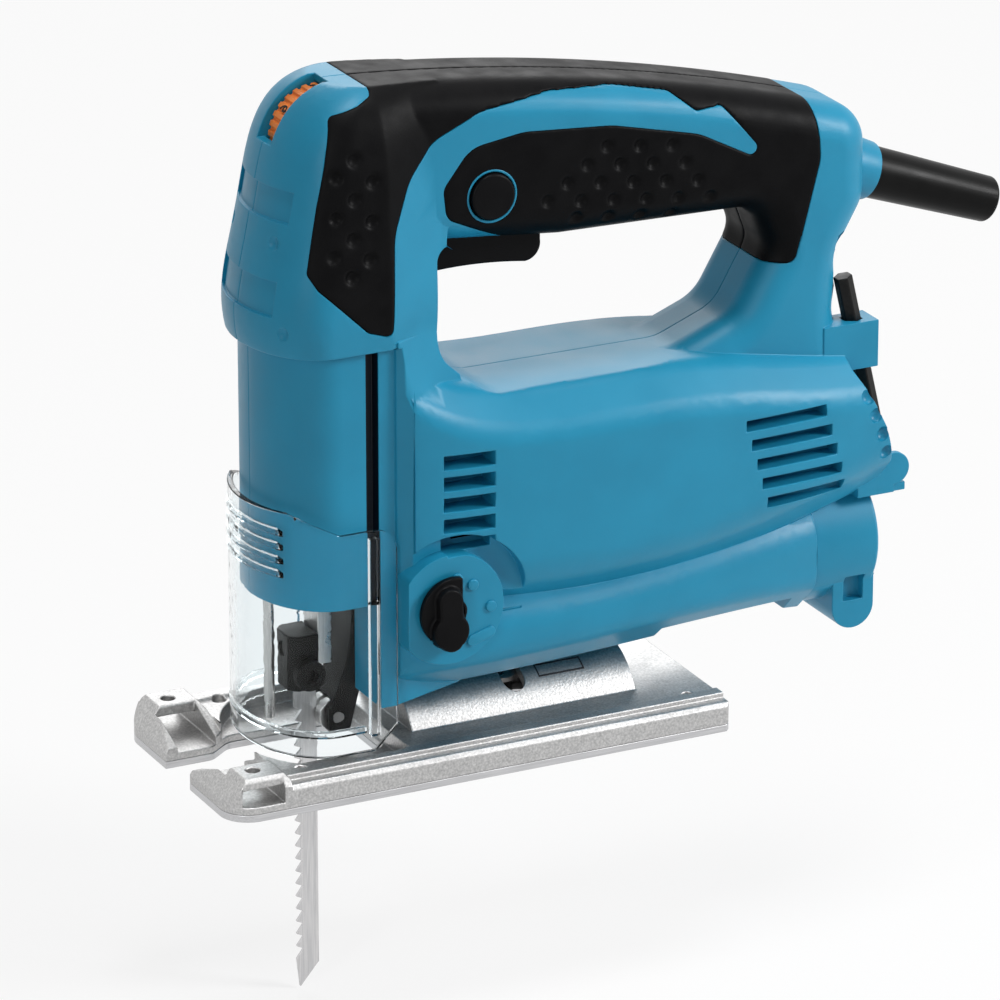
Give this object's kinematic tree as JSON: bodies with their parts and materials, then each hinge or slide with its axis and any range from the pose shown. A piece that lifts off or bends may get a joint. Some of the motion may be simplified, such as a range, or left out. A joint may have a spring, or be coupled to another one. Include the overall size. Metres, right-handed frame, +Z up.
{
  "type": "jigsaw power tool",
  "caption": "Corded orbital jigsaw with closed handle, trigger, speed dial, orbit lever, clear dust cover, stroking blade and a tilting forked base.",
  "frame": {"origin": "on the underside of the sole plate, at the middle of the base, on the plane of the blade", "axes": "+Z up out of the sole, the saw cuts towards -X, -Y is its left side"},
  "size_m": [0.2673, 0.0773, 0.278],
  "materials": {
    "housing": "satin moulded plastic, fine spark texture",
    "soft_grip": "matt dimpled overmould",
    "dial": "satin moulded plastic",
    "black_plastic": "satin moulded plastic",
    "clear_plastic": "clear polished",
    "cast_aluminium": "as cast, finely grained",
    "steel": "ground",
    "sole_steel": "rolled sheet",
    "blade_steel": "bright, ground teeth",
    "blackened_steel": "oil blackened",
    "core_iron": "laminated",
    "copper": "lacquered wire",
    "brass": "pressed",
    "carbon": "pressed carbon",
    "sleeve_rubber": "smooth, slightly shiny"
  },
  "bodies": {
    "housing": {"left_housing": "housing", "right_housing": "housing", "left_grip": "soft_grip", "right_grip": "soft_grip", "housing_screws": "steel", "stator": "core_iron", "front_bearing": "steel", "rear_bearing": "steel", "carbon_brushes": "carbon", "brush_holders": "brass", "gear_carrier": "cast_aluminium", "gear_pin": "steel", "lower_guide": "steel", "upper_guide": "steel", "arm_pin": "steel", "switch_body": "black_plastic", "speed_controller": "black_plastic", "wire_guard": "steel", "cord_sleeve": "sleeve_rubber", "seat_washer": "steel", "seat_bolt": "blackened_steel"},
    "armature": {"armature_shaft": "steel", "armature_core": "core_iron", "armature_windings": "copper", "commutator": "brass", "cooling_fan": "black_plastic"},
    "crank": {"drive_gear": "steel", "crank_roller": "steel"},
    "slider": {"slider": "steel", "blade_clamp": "blackened_steel", "clamp_screws": "blackened_steel", "saw_blade": "blade_steel"},
    "roller_arm": {"roller_arm": "blackened_steel", "roller_pin": "steel"},
    "guide_roller": {"guide_roller": "steel"},
    "orbit_lever": {"orbit_lever": "black_plastic"},
    "trigger": {"trigger": "black_plastic"},
    "lock_button": {"lock_button": "black_plastic"},
    "speed_dial": {"speed_dial": "dial"},
    "dust_cover": {"dust_cover": "clear_plastic"},
    "base": {"base": "cast_aluminium", "sole_plate": "sole_steel", "base_screws": "steel"},
    "hex_key": {"hex_key": "blackened_steel"}
  },
  "joints": [
    {"name": "armature_spin", "type": "hinge", "parent": "housing", "child": "armature", "pos_m": [0.04, 0, 0.072], "axis": [1, 0, 0], "range_deg": [-450, 450]},
    {"name": "crank_spin", "type": "hinge", "parent": "housing", "child": "crank", "pos_m": [-0.022, 0, 0.096], "axis": [1, 0, 0], "range_deg": [-90.5, 90.5]},
    {"name": "slider_stroke", "type": "slide", "parent": "housing", "child": "slider", "axis": [0, 0, 1], "range_m": [-0.00905, 0.00905]},
    {"name": "roller_arm_swing", "type": "hinge", "parent": "housing", "child": "roller_arm", "pos_m": [-0.023, 0, 0.046], "axis": [0, 1, 0], "range_deg": [-4, 0], "stiffness_Nm_per_rad": 0.2, "springref_deg": 3.44},
    {"name": "guide_roller_spin", "type": "hinge", "parent": "roller_arm", "child": "guide_roller", "pos_m": [-0.0317, 0, 0.013], "axis": [0, 1, 0], "continuous": true},
    {"name": "orbit_lever_turn", "type": "hinge", "parent": "housing", "child": "orbit_lever", "pos_m": [-0.0085, -0.034, 0.052], "axis": [0, 1, 0], "range_deg": [-90, 0]},
    {"name": "trigger_press", "type": "slide", "parent": "housing", "child": "trigger", "axis": [0, 0, 1], "range_m": [0, 0.005], "stiffness_N_per_m": 500, "springref_m": -0.004},
    {"name": "lock_button_press", "type": "slide", "parent": "housing", "child": "lock_button", "axis": [0, 1, 0], "range_m": [0, 0.0025], "stiffness_N_per_m": 600, "springref_m": -0.002},
    {"name": "speed_dial_turn", "type": "hinge", "parent": "housing", "child": "speed_dial", "pos_m": [-0.033, 0, 0.1882], "axis": [0, 1, 0], "range_deg": [-145, 145]},
    {"name": "dust_cover_slide", "type": "slide", "parent": "housing", "child": "dust_cover", "axis": [0, 0, 1], "range_m": [0, 0.042]},
    {"name": "base_tilt", "type": "hinge", "parent": "housing", "child": "base", "pos_m": [0, 0, 0], "axis": [1, 0, 0], "range_deg": [-10, 10]},
    {"name": "hex_key_slide", "type": "slide", "parent": "housing", "child": "hex_key", "axis": [-0.2287, 0, 0.9735], "range_m": [0, 0.02]}
  ],
  "couplings": [
    {"joint": "crank_spin", "follows": "armature_spin", "ratio": -0.2},
    {"joint": "slider_stroke", "follows": "armature_spin", "m_per_rad": -0.0011459}
  ]
}
